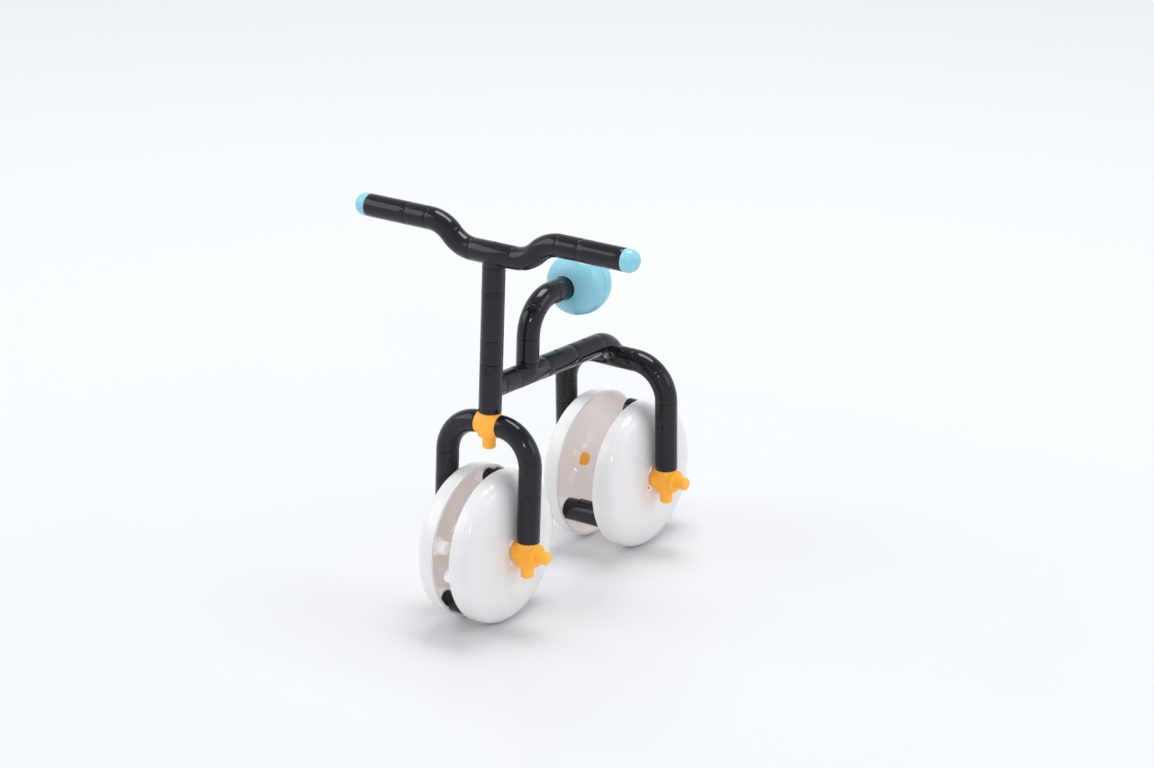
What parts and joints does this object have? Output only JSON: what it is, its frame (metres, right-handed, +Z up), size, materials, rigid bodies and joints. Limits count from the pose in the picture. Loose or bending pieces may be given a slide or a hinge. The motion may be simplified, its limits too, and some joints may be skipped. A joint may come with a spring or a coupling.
{
  "type": "toy bicycle",
  "caption": "Toy bicycle of push-together black pipes and elbows with orange peg hubs, white domed wheel shells, sky-blue grip caps and a rounded saddle.",
  "frame": {"origin": "on the floor under the middle of the footprint", "axes": "+Z up, -Y towards the front wheel, +X across the handlebar towards the right grip as seen from the front"},
  "size_m": [0.1618, 0.1874, 0.1974],
  "materials": {
    "black": "gloss",
    "orange": "satin",
    "white": "gloss",
    "blue": "gloss"
  },
  "bodies": {
    "frame": {"head_tee": "black", "top_tube_front": "black", "seat_tee": "black", "top_tube_middle": "black", "top_tube_rear": "black", "drop_elbow": "black", "rear_cross_tee": "black", "rear_elbow_l_in": "black", "rear_elbow_l_out": "black", "rear_elbow_r_in": "black", "rear_elbow_r_out": "black", "rear_leg_l_upper": "black", "rear_leg_l_lower": "black", "rear_leg_r_upper": "black", "rear_leg_r_lower": "black", "rear_hub_l": "orange", "rear_hub_r": "orange", "frame_joiners": "black"},
    "handlebar": {"bar_tee": "black", "bar_elbow_l_in": "black", "bar_elbow_l_out": "black", "bar_elbow_r_in": "black", "bar_elbow_r_out": "black", "bar_tube_l": "black", "bar_tube_r": "black", "grip_l": "black", "grip_r": "black", "grip_cap_l": "blue", "grip_cap_r": "blue", "stem_tube_upper": "black", "stem_tube_middle": "black", "stem_tube_lower": "black", "bar_joiners": "black"},
    "seat": {"seat_post": "black", "seat_elbow_lower": "black", "seat_elbow_upper": "black", "seat_neck": "black", "seat_front": "blue", "seat_rear": "blue", "seat_joiners": "black"},
    "fork": {"crown_hub": "orange", "fork_elbow_l": "black", "fork_elbow_r": "black", "fork_leg_l_upper": "black", "fork_leg_l_lower": "black", "fork_leg_r_upper": "black", "fork_leg_r_lower": "black", "front_hub_l": "orange", "front_hub_r": "orange", "fork_joiners": "black"},
    "front_wheel": {"front_shell_l": "white", "front_shell_r": "white", "front_spacer_low": "black", "front_spacer_high": "black"},
    "rear_wheel": {"rear_shell_l": "white", "rear_shell_r": "white", "rear_spacer_low": "black", "rear_spacer_high": "black", "rear_spacer_back": "black"}
  },
  "joints": [
    {"name": "bar_turn", "type": "hinge", "parent": "frame", "child": "handlebar", "pos_m": [0, -0.04994, 0.11545], "axis": [0, 0.0774, 0.997], "range_deg": [-90, 90]},
    {"name": "fork_turn", "type": "hinge", "parent": "frame", "child": "fork", "pos_m": [0, -0.04994, 0.11545], "axis": [0, 0.0774, 0.997], "range_deg": [-90, 90]},
    {"name": "front_wheel_spin", "type": "hinge", "parent": "fork", "child": "front_wheel", "pos_m": [0, -0.05597, 0.03768], "axis": [1, 0, 0], "continuous": true},
    {"name": "rear_wheel_spin", "type": "hinge", "parent": "frame", "child": "rear_wheel", "pos_m": [0, 0.05597, 0.03768], "axis": [1, 0, 0], "continuous": true},
    {"name": "seat_turn", "type": "hinge", "parent": "frame", "child": "seat", "pos_m": [0, -0.02003, 0.11312], "axis": [0, 0.0774, 0.997], "range_deg": [-90, 90]}
  ]
}
